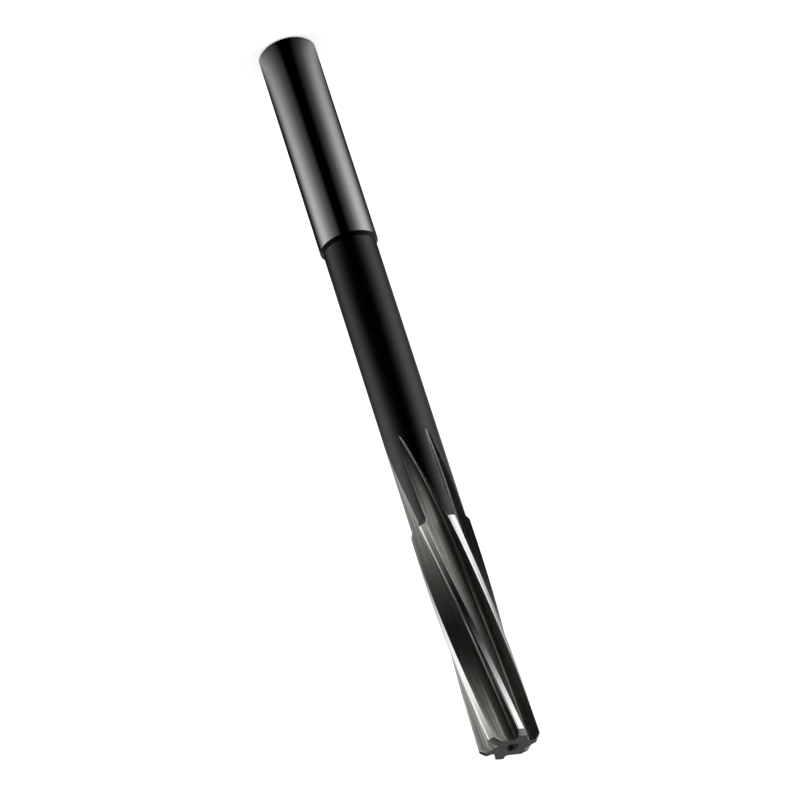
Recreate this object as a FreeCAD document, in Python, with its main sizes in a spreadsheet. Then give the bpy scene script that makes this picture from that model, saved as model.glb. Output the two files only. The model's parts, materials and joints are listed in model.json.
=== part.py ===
"""Machine reamer, 10 mm: a finishing cutter with a parallel shank, turned and ground from one bar.

The bar is turned to a blank with a cylindrical shank, a relieved neck and a fluted head. Six flutes
with a left-hand helix are ground through the head and lift out of the neck over a long arc. Each
tooth has a radial rake face, a narrow cylindrical margin and a relieved land behind it. Both ends
have a centre hole, on which such a tool is turned, ground and later sharpened.

Frame: millimetres, +Z from the shank to the cutting end, origin in the middle of the shank's end face.
"""
import FreeCAD, Part
import math
import os
import Sketcher

# Driving dimensions in millimetres and degrees: (name, value, what it is)
SIZES = [
    ("overall_length", 133.0, "from the shank's end face to the cutting end face"),
    ("shank_diameter", 10.0, "parallel shank that the holder grips"),
    ("shank_length", 39.7, "polished cylinder, up to the edge of the shoulder"),
    ("shank_chamfer", 0.5, "45 degree chamfer round the shank's end"),
    ("shoulder_run", 0.7, "length of the cone from the shank down to the neck"),
    ("neck_diameter", 9.15, "relieved neck between the shank and the teeth"),
    ("step_run", 0.8, "length of the cone from the neck up to the teeth"),
    ("cutting_diameter", 10.0, "over the margins of the teeth"),
    ("cutting_length", 39.0, "full diameter and lead chamfer together"),
    ("lead_chamfer", 0.85, "45 degree lead at the cutting end, where the teeth cut"),
    ("tooth_count", 6, "teeth, and flutes"),
    ("helix_lead", 225.0, "length in which a tooth would go once round"),
    ("end_phase", 6.5, "angle of the first cutting edge at the cutting end"),
    ("core_diameter", 5.9, "of the web that the flutes leave"),
    ("root_radius", 0.45, "between the rake face and the back of the next tooth"),
    ("land_width", 1.05, "from the cutting edge back to the heel, along the circle"),
    ("margin_width", 0.3, "cylindrical part of the land, behind the cutting edge"),
    ("clearance_angle", 10.0, "by which the rest of the land falls away"),
    ("full_depth_length", 32.0, "from the cutting end to where the flutes start to lift"),
    ("runout_radius", 148.0, "of the arc on which the flutes lift out of the neck"),
    ("lift_angle", 41.5, "between the rake face and the way that the flute lifts"),
    ("centre_mouth", 2.5, "diameter of the centre hole's cone at the end face"),
    ("centre_pilot", 1.25, "diameter of the drilled hole below the cone"),
    ("centre_angle", 60.0, "included angle of the centre hole's cone"),
    ("pilot_length", 1.4, "of the drilled hole below the cone"),
    ("pilot_tip", 0.35, "length of the drill's point at the bottom"),
    ("cutter_clearance", 1.2, "how far the cutting shapes stand outside the blank"),
]
HELIX_SECTIONS = 6      # sections of the flute cutter before it starts to lift
RUNOUT_SECTIONS = 6     # more sections, along the arc of the run-out
RELIEF_SECTIONS = 6     # sections of the cutter that relieves the lands
EXIT_MARGIN = 1.25      # the last section stands clear of the neck by this factor of its lift

doc = FreeCAD.newDocument("machine_reamer")


def make_sheet():
    """The spreadsheet with one driving dimension in each row."""
    table = doc.addObject("Spreadsheet::Sheet", "sizes")
    for row, (name, value, note) in enumerate(SIZES, start=1):
        table.set(f"A{row}", name)
        table.set(f"B{row}", str(value))
        table.set(f"C{row}", note)
        table.setAlias(f"B{row}", name)
    doc.recompute()
    return table


sheet = make_sheet()


# ---- expressions that several features share ---------------------------------------------------

SHANK_RADIUS = "sizes.shank_diameter / 2"
NECK_RADIUS = "sizes.neck_diameter / 2"
CUTTING_RADIUS = "sizes.cutting_diameter / 2"
CORE_RADIUS = "sizes.core_diameter / 2"
REACH = f"({CUTTING_RADIUS} + sizes.cutter_clearance)"
TEETH_START = "(sizes.overall_length - sizes.cutting_length)"
ROOT_DISTANCE = f"({CORE_RADIUS} + sizes.root_radius)"
DEGREES_PER_ARC = "(360 / (pi * sizes.cutting_diameter))"
MARGIN_ANGLE = f"(sizes.margin_width * {DEGREES_PER_ARC})"
HEEL_ANGLE = f"(360 / sizes.tooth_count - sizes.land_width * {DEGREES_PER_ARC})"
# centre of the root radius, across and along the way that the flute lifts
ROOT_TURN = f"(sizes.lift_angle - asin(sizes.root_radius / {ROOT_DISTANCE}) / 1 deg)"
ROOT_ACROSS = f"({ROOT_DISTANCE} * sin{ROOT_TURN})"
ROOT_ALONG = f"({ROOT_DISTANCE} * cos{ROOT_TURN})"
EXIT_LIFT = f"(sqrt(({NECK_RADIUS} + sizes.root_radius)^2 - {ROOT_ACROSS}^2) - {ROOT_ALONG})"
RUNOUT_LENGTH = f"sqrt(2 * sizes.runout_radius * {EXIT_LIFT} * {EXIT_MARGIN})"


def rake_angle(height):
    """Angle of the first rake face at a height: it grows towards the shank, a left-hand helix."""
    return f"(sizes.end_phase + 360 * (sizes.overall_length - {height}) / sizes.helix_lead)"


# ---- helpers -----------------------------------------------------------------------------------

def number(expression):
    """The present value of an expression on the spreadsheet."""
    value = sheet.evalExpression(expression)
    return getattr(value, "Value", value)


def new_sketch(body, name, plane):
    """An empty sketch on one of the body's own origin planes."""
    sketch = body.newObject("Sketcher::SketchObject", name)
    origin_plane = next(f for f in body.Origin.OriginFeatures if f.Role == plane)
    sketch.AttachmentSupport = [(origin_plane, "")]
    sketch.MapMode = "FlatFace"
    return sketch


def dimension(sketch, kind, name, expression, *ends):
    """A named driving constraint whose value follows an expression."""
    index = sketch.addConstraint(Sketcher.Constraint(kind, *ends, number(expression)))
    sketch.renameConstraint(index, name)
    sketch.setExpression(f"Constraints.{name}", expression)


def place_point(sketch, name, geometry, end, across, up):
    """Dimension a point from the sketch's origin, or put it on an axis where a distance is 0."""
    for kind, axis, part, expression in (("DistanceX", -2, "across", across), ("DistanceY", -1, "up", up)):
        if expression == "0":
            sketch.addConstraint(Sketcher.Constraint("PointOnObject", geometry, end, axis))
        else:
            dimension(sketch, kind, f"{name}_{part}", expression, -1, 1, geometry, end)


def draw_outline(sketch, corners):
    """A closed outline of straight lines; a corner is (name, across, up), both as expressions."""
    points = [FreeCAD.Vector(number(across), number(up), 0) for _, across, up in corners]
    ends = points[1:] + points[:1]
    sketch.addGeometry([Part.LineSegment(a, b) for a, b in zip(points, ends)], False)
    for line, (name, across, up) in enumerate(corners):
        sketch.addConstraint(Sketcher.Constraint("Coincident", line, 1, (line - 1) % len(corners), 2))
        place_point(sketch, name, line, 1, across, up)


def turn(body, kind, name, sketch):
    """A full revolution or groove of a sketch about its vertical axis, the tool's own axis."""
    feature = body.newObject(kind, name)
    feature.Profile = sketch
    feature.ReferenceAxis = (sketch, ["V_Axis"])
    feature.Angle = 360
    return feature


def set_section(sketch, height, lift="0"):
    """Put a cross-section at a height, turned with the helix and lifted away from the axis."""
    angle = rake_angle(height)
    across = f"{lift} * cos({angle} + sizes.lift_angle)"
    along = f"{lift} * sin({angle} + sizes.lift_angle)"
    turned = f"rotation(vector(0; 0; 1); {angle} - 90)"
    sketch.setExpression("AttachmentOffset", f"placement(vector({across}; {along}; {height}); {turned})")


# ---- the blank ---------------------------------------------------------------------------------

def turn_blank(body):
    """The turned blank: shank, shoulder, neck, step, head and lead chamfer in one half profile."""
    sketch = new_sketch(body, "blank_profile", "XZ_Plane")
    end = "sizes.overall_length"
    draw_outline(sketch, [
        ("shank_centre", "0", "0"),
        ("shank_face", f"{SHANK_RADIUS} - sizes.shank_chamfer", "0"),
        ("shank_edge", SHANK_RADIUS, "sizes.shank_chamfer"),
        ("shoulder", SHANK_RADIUS, "sizes.shank_length"),
        ("neck_start", NECK_RADIUS, "sizes.shank_length + sizes.shoulder_run"),
        ("neck_end", NECK_RADIUS, f"{TEETH_START} - sizes.step_run"),
        ("teeth_start", CUTTING_RADIUS, TEETH_START),
        ("lead_start", CUTTING_RADIUS, f"{end} - sizes.lead_chamfer"),
        ("lead_end", f"{CUTTING_RADIUS} - sizes.lead_chamfer", end),
        ("end_centre", "0", end),
    ])
    return turn(body, "PartDesign::Revolution", "blank", sketch)


def drill_centre(body, name, face, inwards):
    """A centre hole: a 60 degree cone with a drilled hole below it. inwards is + or -, along Z."""
    cone = "((sizes.centre_mouth - sizes.centre_pilot) / 2 / tan(sizes.centre_angle / 2))"
    sketch = new_sketch(body, f"{name}_profile", "XZ_Plane")
    draw_outline(sketch, [
        ("face_centre", "0", face),
        ("mouth", "sizes.centre_mouth / 2", face),
        ("cone_end", "sizes.centre_pilot / 2", f"{face} {inwards} {cone}"),
        ("pilot_end", "sizes.centre_pilot / 2", f"{face} {inwards} ({cone} + sizes.pilot_length)"),
        ("tip", "0", f"{face} {inwards} ({cone} + sizes.pilot_length + sizes.pilot_tip)"),
    ])
    return turn(body, "PartDesign::Groove", name, sketch)


# ---- the flutes --------------------------------------------------------------------------------

def draw_flute_section(sketch):
    """One flute in cross-section, with the rake face on the sketch's vertical axis.

    The rake face is radial. The root radius touches it and the core circle, and the back of the
    next tooth is the straight line from that radius out through the tooth's heel.
    """
    root, distance, reach = number("sizes.root_radius"), number(ROOT_DISTANCE), number(REACH)
    heel_turn, heel_radius = math.radians(number(HEEL_ANGLE)), number(CUTTING_RADIUS)
    centre = FreeCAD.Vector(-root, math.sqrt(distance**2 - root**2), 0)
    heel = FreeCAD.Vector(-heel_radius * math.sin(heel_turn), heel_radius * math.cos(heel_turn), 0)
    to_heel = heel - centre
    touch_turn = math.atan2(to_heel.y, to_heel.x) % (2 * math.pi) + math.acos(root / to_heel.Length)
    touch = centre + FreeCAD.Vector(math.cos(touch_turn), math.sin(touch_turn), 0) * root
    back = (heel - touch).normalize()
    along = -touch.dot(back) + math.sqrt(touch.dot(back)**2 - touch.Length**2 + reach**2)
    back_end = touch + back * along
    axis, back_end_turn = FreeCAD.Vector(0, 0, 1), math.atan2(back_end.y, back_end.x)

    rake_line, outer_arc, back_line, root_arc = sketch.addGeometry([
        Part.LineSegment(FreeCAD.Vector(0, centre.y, 0), FreeCAD.Vector(0, reach, 0)),
        Part.ArcOfCircle(Part.Circle(FreeCAD.Vector(), axis, reach), math.pi / 2, back_end_turn),
        Part.LineSegment(back_end, touch),
        Part.ArcOfCircle(Part.Circle(centre, axis, root), touch_turn, 2 * math.pi),
    ], False)
    heel_point = sketch.addGeometry(Part.Point(heel), True)
    sketch.addConstraint([
        Sketcher.Constraint("PointOnObject", rake_line, 1, -2),
        Sketcher.Constraint("PointOnObject", rake_line, 2, -2),
        Sketcher.Constraint("Coincident", outer_arc, 3, -1, 1),
        Sketcher.Constraint("Coincident", outer_arc, 1, rake_line, 2),
        Sketcher.Constraint("Coincident", outer_arc, 2, back_line, 1),
        Sketcher.Constraint("Tangent", back_line, 2, root_arc, 1),
        Sketcher.Constraint("Tangent", rake_line, 1, root_arc, 2),
        Sketcher.Constraint("PointOnObject", heel_point, 1, back_line),
    ])
    dimension(sketch, "Radius", "reach", REACH, outer_arc)
    dimension(sketch, "Radius", "root_radius", "sizes.root_radius", root_arc)
    dimension(sketch, "Distance", "root_distance", ROOT_DISTANCE, -1, 1, root_arc, 3)
    place_point(sketch, "heel", heel_point, 1,
                f"-{CUTTING_RADIUS} * sin{HEEL_ANGLE}", f"{CUTTING_RADIUS} * cos{HEEL_ANGLE}")


def flute_stations():
    """Heights and lifts of the flute's sections, from beyond the cutting end to clear of the neck."""
    first = "(sizes.overall_length + sizes.cutter_clearance)"
    full_depth_end = "(sizes.overall_length - sizes.full_depth_length)"
    stations = []
    for step in range(HELIX_SECTIONS):
        share = step / (HELIX_SECTIONS - 1)
        stations.append((f"({first} + ({full_depth_end} - {first}) * {share})", "0"))
    for step in range(1, RUNOUT_SECTIONS + 1):
        travel = f"({RUNOUT_LENGTH} * {step / RUNOUT_SECTIONS})"
        lift = f"(sizes.runout_radius - sqrt(sizes.runout_radius^2 - {travel}^2))"
        stations.append((f"({full_depth_end} - {travel})", lift))
    return stations


def cut_flute(body):
    """One flute: the sections follow the helix, and along the run-out they rise on an arc."""
    sections = []
    for index, (height, lift) in enumerate(flute_stations()):
        sketch = new_sketch(body, f"flute_section_{index}", "XY_Plane")
        draw_flute_section(sketch)
        set_section(sketch, height, lift)
        sections.append(sketch)
    return loft(body, "flute", sections)


def relieve_land(body):
    """The clearance behind one tooth's margin, a flat in each section that follows the helix."""
    top = "(sizes.overall_length + sizes.cutter_clearance)"
    bottom = f"({TEETH_START} - sizes.step_run)"
    fall = f"({MARGIN_ANGLE} + sizes.clearance_angle)"
    # the flat reaches past the heel over the open flute, and in front of the margin it is in the air
    run = "(sizes.land_width + sizes.margin_width)"
    margin_x, margin_y = f"{CUTTING_RADIUS} * sin{MARGIN_ANGLE}", f"{CUTTING_RADIUS} * cos{MARGIN_ANGLE}"
    outer_x, outer_y = f"{REACH} * sin{MARGIN_ANGLE}", f"{REACH} * cos{MARGIN_ANGLE}"
    sections = []
    for step in range(RELIEF_SECTIONS):
        sketch = new_sketch(body, f"relief_section_{step}", "XY_Plane")
        draw_outline(sketch, [
            ("before_margin", f"{margin_x} - {run} * cos{fall}", f"{margin_y} + {run} * sin{fall}"),
            ("past_heel", f"{margin_x} + {run} * cos{fall}", f"{margin_y} - {run} * sin{fall}"),
            ("heel_outside", f"{outer_x} + {run} * cos{fall}", f"{outer_y} - {run} * sin{fall}"),
            ("margin_outside", f"{outer_x} - {run} * cos{fall}", f"{outer_y} + {run} * sin{fall}"),
        ])
        set_section(sketch, f"({top} + ({bottom} - {top}) * {step / (RELIEF_SECTIONS - 1)})")
        sections.append(sketch)
    return loft(body, "land_relief", sections)


def loft(body, name, sections):
    """A subtractive loft through sketches; it has to remove material."""
    doc.recompute()
    before = body.Shape.Volume
    feature = body.newObject("PartDesign::SubtractiveLoft", name)
    feature.Profile = sections[0]
    feature.Sections = sections[1:]
    feature.Refine = False      # joining faces on the helix can spoil the solid
    doc.recompute()
    if not body.Shape.Volume < before:
        raise RuntimeError(f"{name} cuts nothing")
    return feature


def repeat_round_axis(body, features):
    """Repeat the features once for each tooth, evenly about the tool's axis."""
    pattern = body.newObject("PartDesign::PolarPattern", "teeth")
    pattern.Originals = features
    pattern.Axis = (next(f for f in body.Origin.OriginFeatures if f.Role == "Z_Axis"), [""])
    pattern.Angle = 360
    pattern.Refine = False
    pattern.setExpression("Occurrences", "sizes.tooth_count")
    body.Tip = pattern
    return pattern


def make_reamer():
    """The reamer, one solid."""
    body = doc.addObject("PartDesign::Body", "reamer")
    body.Label = "reamer"
    turn_blank(body)
    drill_centre(body, "shank_centre_hole", "0", "+")
    drill_centre(body, "cutting_centre_hole", "sizes.overall_length", "-")
    repeat_round_axis(body, [relieve_land(body), cut_flute(body)])
    return body


# ---- check and write ---------------------------------------------------------------------------

def check(bodies):
    """Stop if a feature failed or a shape isn't one valid solid."""
    failed = [o.Name for o in doc.Objects if {"Invalid", "Error"} & set(o.State)]
    if failed:
        raise RuntimeError(f"failed features: {failed}")
    for body in bodies:
        shape = body.Shape
        if shape.isNull() or not shape.isValid() or len(shape.Solids) != 1:
            raise RuntimeError(f"{body.Label} isn't one valid solid")


def write(bodies):
    """One STEP file for each body, named by its label."""
    os.makedirs("parts", exist_ok=True)
    for body in bodies:
        body.Shape.exportStep(os.path.join("parts", f"{body.Label}.step"))


bodies = [make_reamer()]
for made in bodies:
    made.Placement = FreeCAD.Placement()
doc.recompute()
check(bodies)
write(bodies)
for made in bodies:
    print(made.Label, round(made.Shape.Volume, 1), "mm3")
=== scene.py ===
"""Machine reamer: the looks of a 10 mm finishing cutter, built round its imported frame.

The tool is one bar of high-speed steel: a polished parallel shank, a blackened neck and a ground
head with helical flutes. One pitch of its surface is worked out from the tool's sizes. Geometry
Nodes wind that pitch along the helix and repeat it round the axis. Lengths are metres, angles
radians, with +Z from the shank to the cutting end.
"""
import json
import math

import bpy
from mathutils import Matrix, Vector


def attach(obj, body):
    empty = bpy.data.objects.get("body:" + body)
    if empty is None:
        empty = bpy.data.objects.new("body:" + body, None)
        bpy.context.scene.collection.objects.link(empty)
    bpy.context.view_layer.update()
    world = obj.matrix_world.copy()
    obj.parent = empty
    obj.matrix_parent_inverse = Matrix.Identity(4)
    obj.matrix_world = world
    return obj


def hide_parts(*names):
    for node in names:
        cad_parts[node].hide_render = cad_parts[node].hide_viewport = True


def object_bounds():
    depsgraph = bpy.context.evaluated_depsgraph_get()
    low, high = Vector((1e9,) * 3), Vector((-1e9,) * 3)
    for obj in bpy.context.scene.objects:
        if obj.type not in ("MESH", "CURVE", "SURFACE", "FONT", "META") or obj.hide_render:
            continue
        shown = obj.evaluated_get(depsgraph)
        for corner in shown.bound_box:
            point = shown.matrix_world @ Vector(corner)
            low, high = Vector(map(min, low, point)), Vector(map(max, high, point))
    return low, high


bl_info = {
    "name": "Machine reamer",
    "version": (1, 0, 0),
    "blender": (4, 5, 0),
    "location": "3D View > Sidebar > Reamer",
    "description": "Machine reamer with helical flutes, and a plain stage to show it on",
    "category": "Object",
}

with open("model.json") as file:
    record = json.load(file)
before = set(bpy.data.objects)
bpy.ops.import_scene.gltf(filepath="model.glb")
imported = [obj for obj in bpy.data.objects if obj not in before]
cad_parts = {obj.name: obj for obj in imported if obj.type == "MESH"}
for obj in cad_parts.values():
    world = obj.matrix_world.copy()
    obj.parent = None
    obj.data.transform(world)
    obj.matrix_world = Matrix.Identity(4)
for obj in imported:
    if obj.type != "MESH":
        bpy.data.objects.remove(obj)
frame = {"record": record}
CAD_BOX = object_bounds()
LENGTH = CAD_BOX[1][2]
SHANK_MOUNT = next(m for m in frame["record"]["mounts"] if m["name"] == "shank")
BODY_RADIUS = SHANK_MOUNT["dims"]["r_mm"] / 1000


def linear(code):
    """An sRGB hex colour as the linear values that Blender's sockets take."""
    parts = [int(code[i:i + 2], 16) / 255 for i in (1, 3, 5)]
    return tuple(c / 12.92 if c <= 0.04045 else ((c + 0.055) / 1.055) ** 2.4 for c in parts)


def length(name, default, description):
    """A length property, in metres."""
    return bpy.props.FloatProperty(name=name, description=description, default=default, min=0.0,
                                   precision=5, unit="LENGTH", subtype="DISTANCE")


def angle(name, default, description):
    """An angle property, given in degrees and kept in radians."""
    return bpy.props.FloatProperty(name=name, description=description, unit="ROTATION",
                                   default=math.radians(default), subtype="ANGLE")


def colour(name, code, description):
    """A colour property from an sRGB hex value."""
    return bpy.props.FloatVectorProperty(name=name, description=description, size=3, min=0.0,
                                         max=1.0, default=linear(code), subtype="COLOR")


def share(name, default, description):
    """A plain number from 0 to 1."""
    return bpy.props.FloatProperty(name=name, description=description, default=default,
                                   min=0.0, max=1.0, subtype="FACTOR")


# ---- what a user can change ----------------------------------------------------------------------

class ReamerSizes(bpy.types.PropertyGroup):
    """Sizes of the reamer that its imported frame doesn't give by itself."""
    shank_length: length("Shank length", 0.0397, "Polished cylinder, up to the edge of the shoulder")
    shank_chamfer: length("Shank chamfer", 0.0005, "45 degree chamfer round the shank's end")
    shoulder_run: length("Shoulder run", 0.0007, "Length of the cone from the shank to the neck")
    neck_radius: length("Neck radius", 0.004575, "Relieved neck between the shank and the teeth")
    step_run: length("Step run", 0.0008, "Length of the cone from the neck up to the teeth")
    cutting_length: length("Cutting length", 0.039, "Full diameter and lead chamfer together")
    lead_chamfer: length("Lead chamfer", 0.00085, "45 degree lead at the cutting end")
    tooth_count: bpy.props.IntProperty(name="Teeth", description="Teeth, and flutes",
                                       default=6, min=2, max=16)
    helix_lead: length("Helix lead", 0.225, "Length in which a tooth would go once round")
    end_phase: angle("End phase", 6.5, "Angle of the first cutting edge at the cutting end")
    core_radius: length("Core radius", 0.00295, "Radius of the web that the flutes leave")
    root_radius: length("Root radius", 0.00045, "Between the rake face and the back of the next tooth")
    land_width: length("Land width", 0.00105, "From the cutting edge back to the heel")
    margin_width: length("Margin width", 0.0003, "Cylindrical part of the land")
    clearance: angle("Clearance", 10.0, "By which the rest of the land falls away")
    full_depth_length: length("Full depth", 0.032, "From the cutting end to where the flutes lift")
    runout_radius: length("Run-out radius", 0.148, "Of the arc on which the flutes lift out")
    lift_angle: angle("Lift angle", 41.5, "Between the rake face and the way the flute lifts")
    centre_mouth: length("Centre hole mouth", 0.00125, "Radius of the centre hole at the end face")
    centre_pilot: length("Centre hole pilot", 0.000625, "Radius of the drilled hole below the cone")
    pilot_length: length("Pilot length", 0.0014, "Of the drilled hole below the cone")
    pilot_tip: length("Pilot tip", 0.00035, "Length of the drill's point at the bottom")


class ReamerFinishes(bpy.types.PropertyGroup):
    """Colours of the reamer's finishes."""
    polished: colour("Polished steel", "#B6B6B5", "Shank, ground round and then polished")
    blackened: colour("Blackened steel", "#444444", "Neck, oxidised black in heat treatment")
    flute: colour("Ground flutes", "#979691", "Flutes, as a coarse wheel leaves them")
    land: colour("Ground lands", "#EDEDEB", "Margins and lands, bright from a fine wheel")
    end_face: colour("End faces", "#9A9A98", "Faced ends, and the centre holes in them")


class ReamerStage(bpy.types.PropertyGroup):
    """The stage that the reamer stands on."""
    floor: colour("Floor", "#E6E6E6", "Plain pale floor")
    floor_glow: share("Floor whiteness", 0.45, "Lifts the floor to white where nothing shades it")
    ambient: share("Ambient light", 0.55, "Soft light from all round")


# ---- nodes ---------------------------------------------------------------------------------------

def add_node(tree, kind, links=None, values=None, **settings):
    """A node with its settings, input values and incoming links; both are keyed by input."""
    node = tree.nodes.new(kind)
    for name, value in settings.items():
        setattr(node, name, value)
    for key, value in (values or {}).items():
        node.inputs[key].default_value = value
    for key, socket in (links or {}).items():
        tree.links.new(socket, node.inputs[key])
    return node


# ---- one pitch of the reamer ---------------------------------------------------------------------

HEEL_SEGMENTS = 24      # land behind the margin
MARGIN_SEGMENTS = 4
RAKE_SEGMENTS = 8
ROOT_SEGMENTS = 22
BACK_SEGMENTS = 10
MOUTH_SEGMENTS = 12     # of a centre hole, in one pitch
ROW_STEP = 0.0007       # between cross-sections along the flutes
TIP_ROWS = 14           # closer together where a flute comes out of the neck
TIP_REACH = 0.003       # length over which they are
BELOW_TIP = 0.0002      # first distance of the few rows below the flute's point, which then doubles
BELOW_TIP_ROWS = 4
HEEL_SEARCH_STEPS = 50
RAKE_FOOT = 1.5 * math.pi                   # on the root radius, where the rake face touches it
CENTRE_HALF_ANGLE = math.radians(30)        # of the centre holes' cones
ROUND_OFF = 1e-9                            # when two heights are compared
FINISHES = ("polished", "blackened", "flute", "land", "end_face")


class Profile:
    """Cross-sections of one pitch of the tool, before it is wound along the helix.

    The rake face lies on the angle 0 and its flute on the positive side of it. A section runs from
    the heel of the tooth, over the land, down the rake face, round the root and up to the next heel.
    """

    def __init__(self, sizes):
        self.s = sizes
        self.pitch = 2 * math.pi / sizes.tooth_count
        self.land_angle = sizes.land_width / BODY_RADIUS
        self.margin_angle = sizes.margin_width / BODY_RADIUS
        self.head_start = LENGTH - sizes.cutting_length
        self.neck_end = self.head_start - sizes.step_run
        root, across = sizes.root_radius, sizes.core_radius + sizes.root_radius
        self.root_centre = Vector((math.sqrt(across**2 - root**2), root))
        heel_turn = self.pitch - self.land_angle
        heel = Vector((math.cos(heel_turn), math.sin(heel_turn))) * BODY_RADIUS
        to_heel = heel - self.root_centre
        self.touch_turn = math.atan2(to_heel.y, to_heel.x) + math.acos(root / to_heel.length)
        touch = self.root_centre + self.on_circle(self.touch_turn, root)
        self.back_way = (heel - touch).normalized()
        self.lift_way = self.on_circle(sizes.lift_angle, 1.0)
        self.tip_height = self.find_tip()

    @staticmethod
    def on_circle(turn, radius):
        """The way from the centre of a circle to its point at an angle."""
        return Vector((math.cos(turn), math.sin(turn))) * radius

    def find_tip(self):
        """Height at which the root radius leaves the neck, where the flute ends in a point."""
        along = self.root_centre.dot(self.lift_way)
        reach = self.s.neck_radius + self.s.root_radius
        lift = math.sqrt(reach**2 - self.root_centre.length_squared + along**2) - along
        travel = math.sqrt(2 * self.s.runout_radius * lift - lift**2)
        return LENGTH - self.s.full_depth_length - travel

    def lift(self, height):
        """How far the flute has moved away from the axis, on its run-out arc."""
        travel = max(0.0, LENGTH - self.s.full_depth_length - height)
        return self.s.runout_radius - math.sqrt(self.s.runout_radius**2 - travel**2)

    def blank_radius(self, height):
        """Radius of the turned blank."""
        s = self.s
        outline = [(0.0, BODY_RADIUS - s.shank_chamfer), (s.shank_chamfer, BODY_RADIUS),
                   (s.shank_length, BODY_RADIUS), (s.shank_length + s.shoulder_run, s.neck_radius),
                   (self.neck_end, s.neck_radius), (self.head_start, BODY_RADIUS),
                   (LENGTH - s.lead_chamfer, BODY_RADIUS), (LENGTH, BODY_RADIUS - s.lead_chamfer)]
        for (low, start), (high, end) in zip(outline, outline[1:]):
            if height <= high:
                return start + (end - start) * max(0.0, height - low) / (high - low)
        return outline[-1][1]

    def land_radius(self, behind, blank, height):
        """Radius of the land at an angle behind the rake face: on the head the relief is a flat."""
        if behind <= self.margin_angle or height < self.neck_end:
            return blank
        flat = BODY_RADIUS * math.cos(self.s.clearance)
        return min(blank, flat / math.cos(behind - self.margin_angle - self.s.clearance))

    def arc_ends(self, centre, blank):
        """The part of the root radius that lies inside the blank, as two angles."""
        root, away = self.s.root_radius, centre.length
        cosine = (away**2 + root**2 - blank**2) / (2 * away * root)
        start, end = self.touch_turn, RAKE_FOOT
        if cosine > -1.0:
            half = math.acos(min(1.0, cosine))
            inwards = math.atan2(centre.y, centre.x) + math.pi
            start, end = max(start, inwards - half), min(end, inwards + half)
        return start, end

    def heel_point(self, start, blank, height):
        """Where the back of the next tooth meets the blank or that tooth's relief."""
        def past(distance):
            """How far outside that surface the back lies, at a distance from its start."""
            point = start + self.back_way * distance
            behind = self.pitch - math.atan2(point.y, point.x)
            return point.length - self.land_radius(behind, blank, height)
        low, high = 0.0, BODY_RADIUS
        for _ in range(HEEL_SEARCH_STEPS):
            middle = (low + high) / 2
            low, high = (low, middle) if past(middle) > 0 else (middle, high)
        return start + self.back_way * low

    def section(self, height):
        """The land's points and the flute's points, both along the outline. No flute below its tip."""
        blank = self.blank_radius(height)
        if height <= self.tip_height:
            centre = self.root_centre + self.lift_way * self.lift(self.tip_height)
            turn = math.atan2(centre.y, centre.x)
            return self.land(turn - self.pitch, turn, blank, height), []
        centre = self.root_centre + self.lift_way * self.lift(height)
        start, end = self.arc_ends(centre, blank)
        heel = touch = centre + self.on_circle(start, self.s.root_radius)
        if start == self.touch_turn:
            heel = self.heel_point(touch, blank, height)
        edge = foot = centre + self.on_circle(end, self.s.root_radius)
        if end == RAKE_FOOT:
            edge = Vector((math.sqrt(blank**2 - foot.y**2), foot.y))
        flute = [edge.lerp(foot, k / RAKE_SEGMENTS) for k in range(1, RAKE_SEGMENTS + 1)]
        for k in range(1, ROOT_SEGMENTS + 1):
            turn = end + (start - end) * k / ROOT_SEGMENTS
            flute.append(centre + self.on_circle(turn, self.s.root_radius))
        flute += [touch.lerp(heel, k / BACK_SEGMENTS) for k in range(1, BACK_SEGMENTS + 1)]
        heel_turn, edge_turn = math.atan2(heel.y, heel.x), math.atan2(edge.y, edge.x)
        return self.land(heel_turn - self.pitch, edge_turn, blank, height), flute

    def land(self, heel_turn, edge_turn, blank, height):
        """Points over the land, or over the neck between two flutes."""
        width = edge_turn - heel_turn
        margin = self.margin_angle + edge_turn      # the relief keeps its place where the flute lifts
        if height < self.neck_end:
            margin = width * self.margin_angle / self.land_angle
        turns = [heel_turn + (width - margin) * k / HEEL_SEGMENTS for k in range(HEEL_SEGMENTS)]
        turns += [edge_turn - margin * (1 - k / MARGIN_SEGMENTS) for k in range(MARGIN_SEGMENTS + 1)]
        return [self.on_circle(t, self.land_radius(-t, blank, height)) for t in turns]

    def rows(self):
        """Heights of the cross-sections: at each edge of the blank, and closely along the flutes."""
        s, tip = self.s, self.tip_height
        fixed = [s.shank_chamfer, s.shank_length, s.shank_length + s.shoulder_run]
        heights = [0.0] + fixed + [tip - BELOW_TIP * 2**k for k in range(BELOW_TIP_ROWS)] + [tip]
        heights += [tip + TIP_REACH * (k / TIP_ROWS) ** 2 for k in range(1, TIP_ROWS + 1)]
        edges = [tip + TIP_REACH, self.neck_end, self.head_start,
                 LENGTH - s.full_depth_length, LENGTH - s.lead_chamfer, LENGTH]
        for low, high in zip(edges, edges[1:]):
            count = max(1, round((high - low) / ROW_STEP))
            heights += [low + (high - low) * k / count for k in range(1, count + 1)]
        return sorted(heights)


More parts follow.
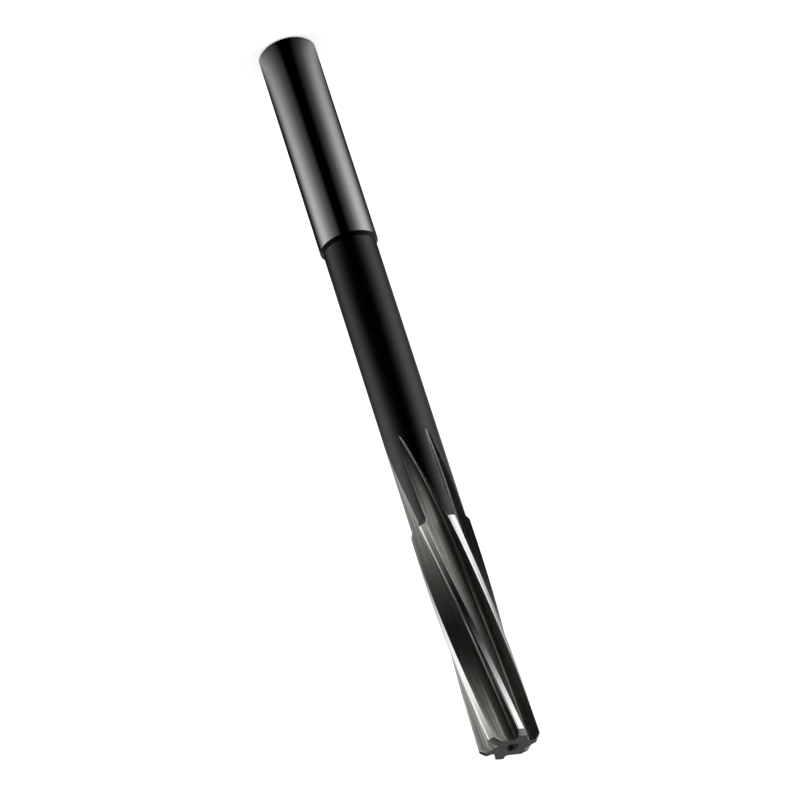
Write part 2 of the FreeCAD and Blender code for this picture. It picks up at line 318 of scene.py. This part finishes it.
def make_pitch(sizes):
    """Mesh of one pitch, from end face to end face, and the profile that it follows.

    Each face carries its finish, and the points on a flute's edges are marked as rubbed. The texture
    map's U runs across the surface and its V along the tool, both in metres.
    """
    profile = Profile(sizes)
    points, rubbed, faces, finishes, maps = [], set(), [], [], []

    def add_points(flat, height):
        """Points at a height, as a list of their numbers."""
        first = len(points)
        points.extend((p.x, p.y, height) for p in flat)
        return list(range(first, len(points)))

    def add_strip(lower, upper, finish, across, low, high):
        """Faces between two rows of points, which lie at two heights of the texture map."""
        for k in range(len(lower) - 1):
            corners = {}        # a repeated point counts once, where a strip ends in a point
            for point, uv in ((lower[k], (across[k], low)), (lower[k + 1], (across[k + 1], low)),
                              (upper[k + 1], (across[k + 1], high)), (upper[k], (across[k], high))):
                corners.setdefault(point, uv)
            if len(corners) > 2:
                faces.append(tuple(corners))
                finishes.append(FINISHES.index(finish))
                maps.append(list(corners.values()))

    def distances(flat):
        """How far each point lies from the first, along the outline."""
        total, found = 0.0, [0.0]
        for a, b in zip(flat, flat[1:]):
            total += (b - a).length
            found.append(total)
        return found

    full = profile.section(LENGTH - sizes.full_depth_length)
    flute_across = distances([full[0][-1]] + full[1])
    land_across = distances(full[0])
    previous = None
    for height in profile.rows():
        land, flute = profile.section(height)
        row = add_points(land, height)
        flute_row = [row[-1]] + add_points(flute, height) if flute else [row[-1]] * len(flute_across)
        if flute:
            rubbed.update((row[0], row[-1], flute_row[-1]))
        if previous:
            low, old_row, old_flute = previous
            finish = "land"
            if height <= sizes.shank_length + ROUND_OFF:
                finish = "polished"
            elif height <= profile.head_start + ROUND_OFF:
                finish = "blackened"
            add_strip(old_row, row, finish, land_across, low, height)
            if flute:
                add_strip(old_flute, flute_row, "flute", flute_across, low, height)
        previous = (height, row, flute_row)

    # the star-shaped face at the cutting end, down to the mouth of its centre hole
    outline = previous[1] + previous[2][1:]
    turns = [math.atan2(points[i][1], points[i][0]) for i in (outline[0], outline[-1])]
    mouth_turns = [turns[0] + profile.pitch * k / MOUTH_SEGMENTS for k in range(MOUTH_SEGMENTS + 1)]
    mouth = add_points([profile.on_circle(t, sizes.centre_mouth) for t in mouth_turns], LENGTH)
    faces.append(tuple(outline + mouth[::-1]))
    finishes.append(FINISHES.index("end_face"))
    maps.append([points[i][:2] for i in faces[-1]])

    # the shank's own end face: a plain ring
    first_row = list(range(HEEL_SEGMENTS + MARGIN_SEGMENTS + 1))
    ring_turns = [math.atan2(points[i][1], points[i][0]) for i in first_row]
    shank_mouth = add_points([profile.on_circle(t, sizes.centre_mouth) for t in ring_turns], 0.0)
    add_strip(shank_mouth, first_row, "end_face", ring_turns, 0.0, 0.0)

    # both centre holes: a 60 degree cone, the drilled hole and its point
    cone = (sizes.centre_mouth - sizes.centre_pilot) / math.tan(CENTRE_HALF_ANGLE)
    steps = [(sizes.centre_pilot, cone), (sizes.centre_pilot, cone + sizes.pilot_length),
             (0.0, cone + sizes.pilot_length + sizes.pilot_tip)]
    for ring, hole_turns, face, inwards in ((mouth, mouth_turns, LENGTH, -1),
                                            (shank_mouth, ring_turns, 0.0, 1)):
        low = face
        for radius, depth in steps:
            height = face + inwards * depth
            deeper = add_points([profile.on_circle(t, radius) for t in hole_turns], height)
            pair = (ring, deeper) if inwards > 0 else (deeper, ring)
            add_strip(pair[0][::-1], pair[1][::-1], "end_face", hole_turns, low, height)
            ring, low = deeper, height

    mesh = bpy.data.meshes.new("reamer_pitch")
    mesh.from_pydata(points, [], faces)
    finish = mesh.attributes.new("finish", "INT", "FACE")
    for face, value in enumerate(finishes):
        finish.data[face].value = value
    edge = mesh.attributes.new("rubbed", "FLOAT", "POINT")
    for point in rubbed:
        edge.data[point].value = 1.0
    layer = mesh.uv_layers.new(name="along_the_tool")
    for polygon, corners in zip(mesh.polygons, maps):
        for loop, uv in zip(polygon.loop_indices, corners):
            layer.data[loop].uv = uv
    return mesh, profile


# ---- Geometry Nodes: wind the pitch along the helix and repeat it --------------------------------

WINDING_INPUTS = (("Teeth", "NodeSocketInt"), ("Helix lead", "NodeSocketFloat"),
                  ("End phase", "NodeSocketFloat"), ("Length", "NodeSocketFloat"),
                  ("Straight below", "NodeSocketFloat"))
WELD_DISTANCE = 2e-6


def winding_tree(materials):
    """The tree that winds one pitch along the helix and repeats it once for each tooth."""
    tree = bpy.data.node_groups.new("wind_and_repeat", "GeometryNodeTree")
    tree.interface.new_socket("Pitch", in_out="INPUT", socket_type="NodeSocketGeometry")
    for name, kind in WINDING_INPUTS:
        tree.interface.new_socket(name, in_out="INPUT", socket_type=kind)
    tree.interface.new_socket("Reamer", in_out="OUTPUT", socket_type="NodeSocketGeometry")
    given = add_node(tree, "NodeGroupInput").outputs

    # a left-hand helix: a section turns back by a full turn in each lead, seen towards the end
    place = add_node(tree, "GeometryNodeInputPosition").outputs[0]
    height = add_node(tree, "ShaderNodeSeparateXYZ", {0: place}).outputs["Z"]
    wound = add_node(tree, "ShaderNodeMath", {0: height, 1: given["Straight below"]},
                     operation="MAXIMUM").outputs[0]
    wound = add_node(tree, "ShaderNodeMath", {0: given["Length"], 1: wound},
                     operation="SUBTRACT").outputs[0]
    turns = add_node(tree, "ShaderNodeMath", {0: wound, 1: given["Helix lead"]},
                     operation="DIVIDE").outputs[0]
    turn = add_node(tree, "ShaderNodeMath", {0: turns, 2: given["End phase"]}, {1: 2 * math.pi},
                    operation="MULTIPLY_ADD").outputs[0]
    turned = add_node(tree, "ShaderNodeVectorRotate", {"Vector": place, "Angle": turn},
                      rotation_type="Z_AXIS")
    winding = add_node(tree, "GeometryNodeSetPosition",
                       {"Geometry": given["Pitch"], "Position": turned.outputs[0]})

    spots = add_node(tree, "GeometryNodeMeshLine", {"Count": given["Teeth"]},
                     {"Offset": (0.0, 0.0, 0.0)})
    index = add_node(tree, "GeometryNodeInputIndex").outputs[0]
    share_of_turn = add_node(tree, "ShaderNodeMath", {0: index, 1: given["Teeth"]},
                             operation="DIVIDE").outputs[0]
    step = add_node(tree, "ShaderNodeMath", {0: share_of_turn}, {1: 2 * math.pi},
                    operation="MULTIPLY").outputs[0]
    about_axis = add_node(tree, "ShaderNodeCombineXYZ", {"Z": step})
    teeth = add_node(tree, "GeometryNodeInstanceOnPoints",
                     {"Points": spots.outputs[0], "Instance": winding.outputs[0],
                      "Rotation": about_axis.outputs[0]})
    solid = add_node(tree, "GeometryNodeRealizeInstances", {0: teeth.outputs[0]})
    shape = add_node(tree, "GeometryNodeMergeByDistance", {"Geometry": solid.outputs[0]},
                     {"Distance": WELD_DISTANCE}).outputs[0]

    finish = add_node(tree, "GeometryNodeInputNamedAttribute", values={"Name": "finish"},
                      data_type="INT").outputs["Attribute"]
    for value, name in enumerate(FINISHES):
        chosen = add_node(tree, "FunctionNodeCompare", {"A": finish}, {"B": value},
                          data_type="INT", operation="EQUAL")
        shape = add_node(tree, "GeometryNodeSetMaterial",
                         {"Geometry": shape, "Selection": chosen.outputs[0]},
                         {"Material": materials[name]}).outputs[0]
    add_node(tree, "NodeGroupOutput", {0: shape})
    return tree


def wind(pitch, materials, sizes, straight_below):
    """Run the winding tree on the pitch and return the whole tool as a plain mesh."""
    holder = bpy.data.objects.new("reamer", pitch)
    bpy.context.scene.collection.objects.link(holder)
    tree = winding_tree(materials)
    modifier = holder.modifiers.new("wind_and_repeat", "NODES")
    modifier.node_group = tree
    values = {"Teeth": sizes.tooth_count, "Helix lead": sizes.helix_lead, "End phase": sizes.end_phase,
              "Length": LENGTH, "Straight below": straight_below}
    for item in tree.interface.items_tree:
        if item.in_out == "INPUT" and item.name in values:
            modifier[item.identifier] = values[item.name]
    bpy.context.view_layer.update()
    graph = bpy.context.evaluated_depsgraph_get()
    mesh = bpy.data.meshes.new_from_object(holder.evaluated_get(graph))
    mesh.validate()
    holder.modifiers.remove(modifier)
    holder.data = mesh
    bpy.data.meshes.remove(pitch)
    return holder


# ---- materials -----------------------------------------------------------------------------------

def empty_material(name):
    """A material with no nodes yet."""
    material = bpy.data.materials.new(name)
    material.use_nodes = True
    material.node_tree.nodes.clear()
    return material, material.node_tree


def new_material(name, base, roughness, metallic=1.0):
    """A material with its Principled node, at the mean values that its patterns then vary."""
    material, tree = empty_material(name)
    shader = add_node(tree, "ShaderNodeBsdfPrincipled",
                      values={"Base Color": (*base, 1.0), "Metallic": metallic, "Roughness": roughness})
    add_node(tree, "ShaderNodeOutputMaterial", {"Surface": shader.outputs[0]})
    return material, tree, shader


NOISE_RANGE = (0.3, 0.7)        # most of the noise lies between these values
PATCH_SHARE = 0.4               # of broad patches in a pattern; the rest is lines
RUB_MARKS = (0.0012, 0.0012, 0.0025)    # size in metres of the worn places along an edge
RUBBED_ROUGHNESS = 0.2
SHOULDER_RUB = 0.00025          # how far the shoulder's edge is rubbed down the shank


def drawn_noise(tree, place, sizes):
    """Noise from 0 to 1 whose marks have a given size in metres along each axis."""
    scaled = add_node(tree, "ShaderNodeMapping", {"Vector": place},
                      {"Scale": [1 / s for s in sizes]}).outputs[0]
    noise = add_node(tree, "ShaderNodeTexNoise", {"Vector": scaled}, {"Scale": 1.0, "Detail": 3.0})
    low, high = NOISE_RANGE
    return add_node(tree, "ShaderNodeMapRange", {"Value": noise.outputs["Fac"]},
                    {"From Min": low, "From Max": high}).outputs[0]


def distance_from_axis(tree, place):
    """How far a place lies from the Z axis."""
    across = add_node(tree, "ShaderNodeVectorMath", {0: place}, {1: (1.0, 1.0, 0.0)},
                      operation="MULTIPLY").outputs[0]
    return add_node(tree, "ShaderNodeVectorMath", {0: across}, operation="LENGTH").outputs["Value"]


def finish_surface(tree, shader, lines, patches, dark, bright, rough, depth):
    """Let lines and broad patches vary the colour and the roughness, and the lines the height.

    The bright marks are the smoother ones. The depth of the lines is in metres.
    """
    pattern = add_node(tree, "ShaderNodeMix", {"A": lines, "B": patches},
                       {"Factor": PATCH_SHARE}).outputs[0]
    mixed = add_node(tree, "ShaderNodeMix", {0: pattern}, {6: (*dark, 1.0), 7: (*bright, 1.0)},
                     data_type="RGBA").outputs[2]
    roughness = add_node(tree, "ShaderNodeMapRange", {"Value": pattern},
                         {"To Min": rough[1], "To Max": rough[0]}).outputs[0]
    skin = add_node(tree, "ShaderNodeBump", {"Height": lines},
                    {"Strength": 1.0, "Distance": depth})
    tree.links.new(skin.outputs[0], shader.inputs["Normal"])
    return mixed, roughness


def rub_edges(tree, shader, mixed, roughness, bare, rubbed=None):
    """Bare, smoother metal where handling has rubbed the edges, broken up along their length.

    Unless another value says where, those are the edges between the flutes and the round surface.
    """
    if rubbed is None:
        rubbed = add_node(tree, "ShaderNodeAttribute", attribute_name="rubbed").outputs["Fac"]
    place = add_node(tree, "ShaderNodeTexCoord").outputs["Object"]
    broken = drawn_noise(tree, place, RUB_MARKS)
    part = add_node(tree, "ShaderNodeMath", {0: rubbed, 1: broken}, operation="MULTIPLY").outputs[0]
    colours = add_node(tree, "ShaderNodeMix", {0: part, 6: mixed}, {7: (*bare, 1.0)},
                       data_type="RGBA")
    smooth = add_node(tree, "ShaderNodeMix", {"Factor": part, "A": roughness},
                      {"B": RUBBED_ROUGHNESS})
    tree.links.new(colours.outputs[2], shader.inputs["Base Color"])
    tree.links.new(smooth.outputs[0], shader.inputs["Roughness"])


def shade(base, factor):
    """The same colour, lighter or darker."""
    return tuple(min(1.0, c * factor) for c in base)


def polished_steel(base, shank_length):
    """High-speed steel, centreless ground and polished: a clear mirror with the faintest lines.

    The lines run round the shank. Real ones are some 5 um apart, and are drawn 0.3 mm apart to show.
    """
    material, tree, shader = new_material("polished_high_speed_steel", base, 0.12)
    place = add_node(tree, "ShaderNodeTexCoord").outputs["Object"]
    mixed, roughness = finish_surface(
        tree, shader, lines=drawn_noise(tree, place, (0.005, 0.005, 0.0003)),
        patches=drawn_noise(tree, place, (0.003, 0.003, 0.006)),
        dark=shade(base, 0.95), bright=shade(base, 1.05), rough=(0.09, 0.15), depth=4e-7)
    height = add_node(tree, "ShaderNodeSeparateXYZ", {0: place}).outputs["Z"]
    rubbed = add_node(tree, "ShaderNodeMapRange", {"Value": height},
                      {"From Min": shank_length - SHOULDER_RUB, "From Max": shank_length}).outputs[0]
    rub_edges(tree, shader, mixed, roughness, shade(base, 1.3), rubbed)
    return material


def blackened_steel(base):
    """High-speed steel with its black oxide skin from heat treatment: dark, satin, even.

    Turning marks go round under the skin. Real ones are about 0.1 mm apart, and are drawn 0.35 mm
    apart to show. Along the flutes the skin is rubbed off.
    """
    material, tree, shader = new_material("black_oxide_steel", base, 0.24)
    place = add_node(tree, "ShaderNodeTexCoord").outputs["Object"]
    mixed, roughness = finish_surface(
        tree, shader, lines=drawn_noise(tree, place, (0.006, 0.006, 0.00035)),
        patches=drawn_noise(tree, place, (0.004, 0.004, 0.008)),
        dark=shade(base, 0.88), bright=shade(base, 1.1), rough=(0.2, 0.28), depth=6e-7)
    rub_edges(tree, shader, mixed, roughness, shade(base, 5.0))
    return material


def ground_flutes(base):
    """High-speed steel from a coarse wheel: satin, darker than the lands, with lines along the flute.

    A 60 grit wheel leaves lines some 0.1 mm apart. They are drawn 0.22 mm apart to show, and the
    bright end of their colour is also a painted highlight: glints along the flute.
    """
    material, tree, shader = new_material("coarse_ground_steel", base, 0.42)
    flat = add_node(tree, "ShaderNodeUVMap", uv_map="along_the_tool").outputs[0]
    # grinding lines, whose bright end, 1.6 times the base, is partly a painted highlight
    mixed, roughness = finish_surface(
        tree, shader, lines=drawn_noise(tree, flat, (0.00022, 0.02, 1.0)),
        patches=drawn_noise(tree, flat, (0.0007, 0.012, 1.0)),
        dark=shade(base, 0.42), bright=shade(base, 1.6), rough=(0.3, 0.5), depth=6e-6)
    rub_edges(tree, shader, mixed, roughness, shade(base, 2.0))
    return material


def ground_lands(base):
    """High-speed steel from a fine wheel: nearly as bright as a mirror, with the faintest lines.

    The lines run along the land. Real ones are some 20 um apart, and are drawn 0.15 mm apart to show.
    """
    material, tree, shader = new_material("fine_ground_steel", base, 0.25)
    flat = add_node(tree, "ShaderNodeUVMap", uv_map="along_the_tool").outputs[0]
    mixed, roughness = finish_surface(
        tree, shader, lines=drawn_noise(tree, flat, (0.00015, 0.015, 1.0)),
        patches=drawn_noise(tree, flat, (0.0006, 0.004, 1.0)),
        dark=shade(base, 0.86), bright=shade(base, 1.05), rough=(0.2, 0.3), depth=1.2e-6)
    rub_edges(tree, shader, mixed, roughness, shade(base, 1.1))
    return material


def faced_steel(base):
    """High-speed steel, faced and left dull: the ends of the bar and their centre holes.

    Facing leaves rings round the axis. Real ones are about 0.1 mm apart, and are drawn 0.25 mm apart
    to show.
    """
    material, tree, shader = new_material("faced_steel", base, 0.42)
    place = add_node(tree, "ShaderNodeTexCoord").outputs["Object"]
    ring = add_node(tree, "ShaderNodeCombineXYZ", {"X": distance_from_axis(tree, place)}).outputs[0]
    mixed, roughness = finish_surface(
        tree, shader, lines=drawn_noise(tree, ring, (0.00025, 1.0, 1.0)),
        patches=drawn_noise(tree, place, (0.0008, 0.0008, 0.0008)),
        dark=shade(base, 0.8), bright=shade(base, 1.15), rough=(0.34, 0.48), depth=2e-6)
    rub_edges(tree, shader, mixed, roughness, shade(base, 1.8))
    return material


# ---- operators -----------------------------------------------------------------------------------

SHARP_EDGE = math.radians(5.5)      # the 10 degree edge behind the margin is the bluntest real one
FEWEST_FACES = 1000                 # a whole tool has many more


class REAMER_OT_tool(bpy.types.Operator):
    """Build the reamer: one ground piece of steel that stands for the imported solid"""
    bl_idname = "reamer.tool"
    bl_label = "Reamer"

    def execute(self, context):
        sizes, finishes = context.scene.reamer_sizes, context.scene.reamer_finishes
        materials = {"polished": polished_steel(finishes.polished, sizes.shank_length),
                     "blackened": blackened_steel(finishes.blackened),
                     "flute": ground_flutes(finishes.flute),
                     "land": ground_lands(finishes.land),
                     "end_face": faced_steel(finishes.end_face)}
        pitch, profile = make_pitch(sizes)
        tool = wind(pitch, materials, sizes, profile.tip_height)
        if len(tool.data.polygons) < FEWEST_FACES:
            raise RuntimeError("the reamer's mesh came out empty")
        tool.name = tool.data.name = "reamer_tool"
        tool.data.shade_smooth()
        tool.data.set_sharp_from_angle(angle=SHARP_EDGE)
        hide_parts("reamer")
        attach(tool, "root")
        return {"FINISHED"}


FLOOR_HALF_SIDE = 4.0
FLOOR_ROUGHNESS = 0.9
WHITE = (1.0, 1.0, 1.0, 1.0)


def seen_directly(tree):
    """1 for what the camera, a reflection or clear glass sees, and 0 for light that falls on things."""
    path = add_node(tree, "ShaderNodeLightPath").outputs
    seen = add_node(tree, "ShaderNodeMath", {0: path["Is Camera Ray"], 1: path["Is Glossy Ray"]},
                    operation="MAXIMUM").outputs[0]
    return add_node(tree, "ShaderNodeMath", {0: seen, 1: path["Is Transmission Ray"]},
                    operation="MAXIMUM").outputs[0]


def make_floor(stage):
    """A plain pale floor. To the camera and in reflections it is white where nothing shades it."""
    mesh = bpy.data.meshes.new("floor")
    half = FLOOR_HALF_SIDE
    mesh.from_pydata([(-half, -half, 0), (half, -half, 0), (half, half, 0), (-half, half, 0)],
                     [], [(0, 1, 2, 3)])
    floor = bpy.data.objects.new("floor", mesh)
    bpy.context.scene.collection.objects.link(floor)
    material, tree, shader = new_material("plain_paper", stage.floor, FLOOR_ROUGHNESS, metallic=0.0)
    shader.inputs["Specular IOR Level"].default_value = 0.0
    glow = add_node(tree, "ShaderNodeMath", {0: seen_directly(tree)}, {1: stage.floor_glow},
                    operation="MULTIPLY")
    shader.inputs["Emission Color"].default_value = WHITE
    tree.links.new(glow.outputs[0], shader.inputs["Emission Strength"])
    mesh.materials.append(material)


def make_world(stage):
    """An even soft surround that shows as white."""
    world = bpy.data.worlds.new("surround")
    world.use_nodes = True
    tree = world.node_tree
    tree.nodes.clear()
    ambient, white = (
        add_node(tree, "ShaderNodeBackground", values={"Color": WHITE, "Strength": strength})
        for strength in (stage.ambient, 1.0))
    mixed = add_node(tree, "ShaderNodeMixShader",
                     {0: seen_directly(tree), 1: ambient.outputs[0], 2: white.outputs[0]})
    add_node(tree, "ShaderNodeOutputWorld", {"Surface": mixed.outputs[0]})
    bpy.context.scene.world = world


LAMPS = (("lamp_left", (0.9, 0.1, 0.7)), ("lamp_right", (-0.9, 0.1, 0.7)))
LAMP_AIM = (0.0, 0.0, 0.06)
LAMP_SIDE = 0.7
LAMP_POWER = 6.0            # watts


def add_lamps():
    """Soft square lamps on both sides, which point at the tool."""
    for name, place in LAMPS:
        lamp = bpy.data.lights.new(name, "AREA")
        lamp.shape, lamp.size, lamp.energy = "SQUARE", LAMP_SIDE, LAMP_POWER
        holder = bpy.data.objects.new(name, lamp)
        turn = (Vector(LAMP_AIM) - Vector(place)).to_track_quat("-Z", "Y")
        holder.matrix_world = Matrix.Translation(place) @ turn.to_matrix().to_4x4()
        holder.visible_glossy = False       # so that no lamp shows in the metal as a bright square
        bpy.context.scene.collection.objects.link(holder)


TENT_RADIUS = 1.6
TENT_SEGMENTS = 48
TENT_RINGS = 12
TENT_LIFT = 0.00002         # above the floor, so that the two don't fight
# The flags paint the reflections in the metal: only glossy rays see them, and their pattern is drawn by
# angle.
# How much of the white surround the black flags let through, by the angle from the camera's side,
# which is minus on the right: on the floor near the tool, farther out and farthest, and above it.
# The floor near the tool shows in its shank, that farther out in its neck, and the rest in its head.
NEAR_STOPS = (
    (-134, 0.05), (-116, 0.38), (-102, 0.8), (-88, 1.0), (-78, 0.96), (-60, 0.5), (-42, 0.15),
    (-25, 0.04), (-15, 0.0), (15, 0.0), (23, 0.07), (42, 0.22), (60, 0.5), (80, 0.92), (92, 1.0),
    (103, 0.75), (116, 0.3), (132, 0.02))
MIDDLE_STOPS = (
    (-130, 0.14), (-112, 0.47), (-98, 0.8), (-80, 0.85), (-64, 0.5), (-44, 0.16), (-28, 0.0),
    (35, 0.0), (54, 0.14), (74, 0.45), (92, 0.66), (112, 0.4), (132, 0.08))
FAR_STOPS = (
    (-180, 0.45), (-150, 0.3), (-130, 0.25), (-110, 0.48), (-92, 0.85), (-78, 1.0), (-63, 1.0),
    (-50, 0.68), (-38, 0.3), (-25, 0.1), (-12, 0.0), (12, 0.0), (30, 0.1), (48, 0.27), (60, 0.5),
    (75, 0.88), (88, 1.0), (105, 0.86), (125, 0.53), (150, 0.2), (180, 0.1))
ABOVE_STOPS = (
    (-180, 0.2), (-150, 0.1), (-110, 0.45), (-80, 0.14), (-35, 0.0), (35, 0.0), (80, 0.1),
    (110, 0.12), (150, 0.0), (180, 0.2))
NEAR_TO_MIDDLE = (0.079, 0.087)     # distances from the tool at which one gives way to the next
MIDDLE_TO_FAR = (0.15, 0.19)
FLOOR_TO_ABOVE = (0.005, 0.1)       # heights at which those above take over
# Painted shade: the flags darken the reflected floor next to the tool's foot, as the tool's shadow
# would.
PAINTED_FOOT_SHADE = 0.45                   # what is left of the light next to the tool's foot
FOOT_FADE = 0.12                    # it is back in full at this distance


def painted_reflection_card_material(heading):
    """Painted reflections: feathered black card, closed towards the camera, open at both sides of the
    tool.
    """
    material, tree = empty_material("painted_reflection_card")
    place = add_node(tree, "ShaderNodeTexCoord").outputs["Object"]
    turned = add_node(tree, "ShaderNodeVectorRotate", {"Vector": place}, {"Angle": -heading},
                      rotation_type="Z_AXIS")
    flat = add_node(tree, "ShaderNodeSeparateXYZ", {0: turned.outputs[0]}).outputs
    turn = add_node(tree, "ShaderNodeMath", {0: flat["Y"], 1: flat["X"]}, operation="ARCTAN2")
    portion = add_node(tree, "ShaderNodeMapRange", {"Value": turn.outputs[0]},
                       {"From Min": -math.pi, "From Max": math.pi})
    open_parts = []
    for stops in (NEAR_STOPS, MIDDLE_STOPS, FAR_STOPS, ABOVE_STOPS):
        ramp = add_node(tree, "ShaderNodeValToRGB", {0: portion.outputs[0]})
        elements = ramp.color_ramp.elements
        while len(elements) < len(stops):
            elements.new(0.5)
        for element, (degrees, value) in zip(elements, stops):
            element.position = degrees / 360 + 0.5
            element.color = (value, value, value, 1.0)
        open_parts.append(ramp.outputs[0])
    floor_part, middle, far, above = open_parts

    away = distance_from_axis(tree, place)
    for next_part, (low, high) in ((middle, NEAR_TO_MIDDLE), (far, MIDDLE_TO_FAR)):
        farther = add_node(tree, "ShaderNodeMapRange", {"Value": away},
                           {"From Min": low, "From Max": high}).outputs[0]
        floor_part = add_node(tree, "ShaderNodeMix",
                              {"Factor": farther, "A": floor_part, "B": next_part}).outputs[0]
    # painted shade next to the foot, which fades out with the distance from the axis
    foot = add_node(tree, "ShaderNodeMapRange", {"Value": away},
                    {"From Max": FOOT_FADE, "To Min": PAINTED_FOOT_SHADE}).outputs[0]
    floor_part = add_node(tree, "ShaderNodeMath", {0: floor_part, 1: foot},
                          operation="MULTIPLY").outputs[0]
    low, high = FLOOR_TO_ABOVE
    raised = add_node(tree, "ShaderNodeMapRange", {"Value": flat["Z"]},
                      {"From Min": low, "From Max": high}).outputs[0]
    open_part = add_node(tree, "ShaderNodeMix",
                         {"Factor": raised, "A": floor_part, "B": above}).outputs[0]
    black = add_node(tree, "ShaderNodeEmission", values={"Strength": 0.0})
    clear = add_node(tree, "ShaderNodeBsdfTransparent")
    mixed = add_node(tree, "ShaderNodeMixShader",
                     {0: open_part, 1: black.outputs[0], 2: clear.outputs[0]})
    add_node(tree, "ShaderNodeOutputMaterial", {"Surface": mixed.outputs[0]})
    return material


def add_painted_reflection_flags(heading):
    """Black flags round and over the tool, seen only in reflections: painted dark reflections in
    polished metal.
    """
    points, faces = [], [tuple(range(TENT_SEGMENTS))]
    for ring in range(TENT_RINGS):
        rise = math.pi / 2 * ring / TENT_RINGS
        for k in range(TENT_SEGMENTS):
            turn = 2 * math.pi * k / TENT_SEGMENTS
            points.append((TENT_RADIUS * math.cos(rise) * math.cos(turn),
                           TENT_RADIUS * math.cos(rise) * math.sin(turn),
                           TENT_LIFT + TENT_RADIUS * math.sin(rise)))
    points.append((0.0, 0.0, TENT_LIFT + TENT_RADIUS))
    for ring in range(TENT_RINGS):
        start = ring * TENT_SEGMENTS
        for k in range(TENT_SEGMENTS):
            first, after = start + k, start + (k + 1) % TENT_SEGMENTS
            if ring == TENT_RINGS - 1:
                faces.append((first, after, len(points) - 1))
            else:
                faces.append((first, after, after + TENT_SEGMENTS, first + TENT_SEGMENTS))
    mesh = bpy.data.meshes.new("painted_reflection_flags")
    mesh.from_pydata(points, [], faces)
    mesh.materials.append(painted_reflection_card_material(heading))
    painted_reflection_flags = bpy.data.objects.new("painted_reflection_flags", mesh)
    bpy.context.scene.collection.objects.link(painted_reflection_flags)
    for kind in ("camera", "diffuse", "transmission", "shadow", "volume_scatter"):
        setattr(painted_reflection_flags, f"visible_{kind}", False)


CAMERA_AIM = (0.0002, 0.0, 0.0697)
CAMERA_DISTANCE = 0.6216
CAMERA_DOWN = 26.107        # degrees below the level
CAMERA_HEADING = -89.396    # degrees from +X, the way it looks
CAMERA_ROLL = -162.075      # degrees: the shank's end comes out at the upper left
CAMERA_LENS = 171.54        # mm
CAMERA_SENSOR = 36.0        # mm
CAMERA_CLIP = (0.01, 20.0)


def add_camera():
    """The camera, which looks down past the cutting end to the shank."""
    data = bpy.data.cameras.new("camera")
    data.lens, data.sensor_width = CAMERA_LENS, CAMERA_SENSOR
    data.clip_start, data.clip_end = CAMERA_CLIP
    camera = bpy.data.objects.new("camera", data)
    down, heading = math.radians(CAMERA_DOWN), math.radians(CAMERA_HEADING)
    level = math.cos(down)
    way = Vector((level * math.cos(heading), level * math.sin(heading), -math.sin(down)))
    right = way.cross(Vector((0, 0, 1))).normalized()
    axes = Matrix((right, right.cross(way), -way)).transposed().to_4x4()
    roll = Matrix.Rotation(-math.radians(CAMERA_ROLL), 4, "Z")
    place = Vector(CAMERA_AIM) - way * CAMERA_DISTANCE
    camera.matrix_world = Matrix.Translation(place) @ axes @ roll
    bpy.context.scene.collection.objects.link(camera)
    bpy.context.scene.camera = camera


class REAMER_OT_stage(bpy.types.Operator):
    """Set the stage: a pale floor, a white surround, soft lamps, flags for painted reflections, and the
    camera
    """
    bl_idname = "reamer.stage"
    bl_label = "Stage"

    def execute(self, context):
        stage = context.scene.reamer_stage
        make_floor(stage)
        make_world(stage)
        add_lamps()
        add_painted_reflection_flags(math.radians(CAMERA_HEADING + 180))
        add_camera()
        context.scene.view_settings.view_transform = "Standard"
        return {"FINISHED"}


class REAMER_PT_panel(bpy.types.Panel):
    """Lists the reamer's pieces, sizes and colours"""
    bl_idname = "REAMER_PT_panel"
    bl_label = "Machine reamer"
    bl_space_type = "VIEW_3D"
    bl_region_type = "UI"
    bl_category = "Reamer"

    def draw(self, context):
        for operator in OPERATORS:
            self.layout.operator(operator.bl_idname)
        for group in GROUPS:
            values = getattr(context.scene, group)
            box = self.layout.box()
            for name in values.__annotations__:
                box.prop(values, name)


OPERATORS = (REAMER_OT_tool, REAMER_OT_stage)
GROUPS = {"reamer_sizes": ReamerSizes, "reamer_finishes": ReamerFinishes, "reamer_stage": ReamerStage}


def register():
    for group, kind in GROUPS.items():
        bpy.utils.register_class(kind)
        setattr(bpy.types.Scene, group, bpy.props.PointerProperty(type=kind))
    for kind in (*OPERATORS, REAMER_PT_panel):
        bpy.utils.register_class(kind)


def unregister():
    for kind in (REAMER_PT_panel, *reversed(OPERATORS)):
        bpy.utils.unregister_class(kind)
    for group, kind in reversed(GROUPS.items()):
        delattr(bpy.types.Scene, group)
        bpy.utils.unregister_class(kind)


def main():
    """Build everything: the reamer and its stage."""
    register()
    bpy.ops.reamer.tool()
    bpy.ops.reamer.stage()


if __name__ == "__main__":
    main()
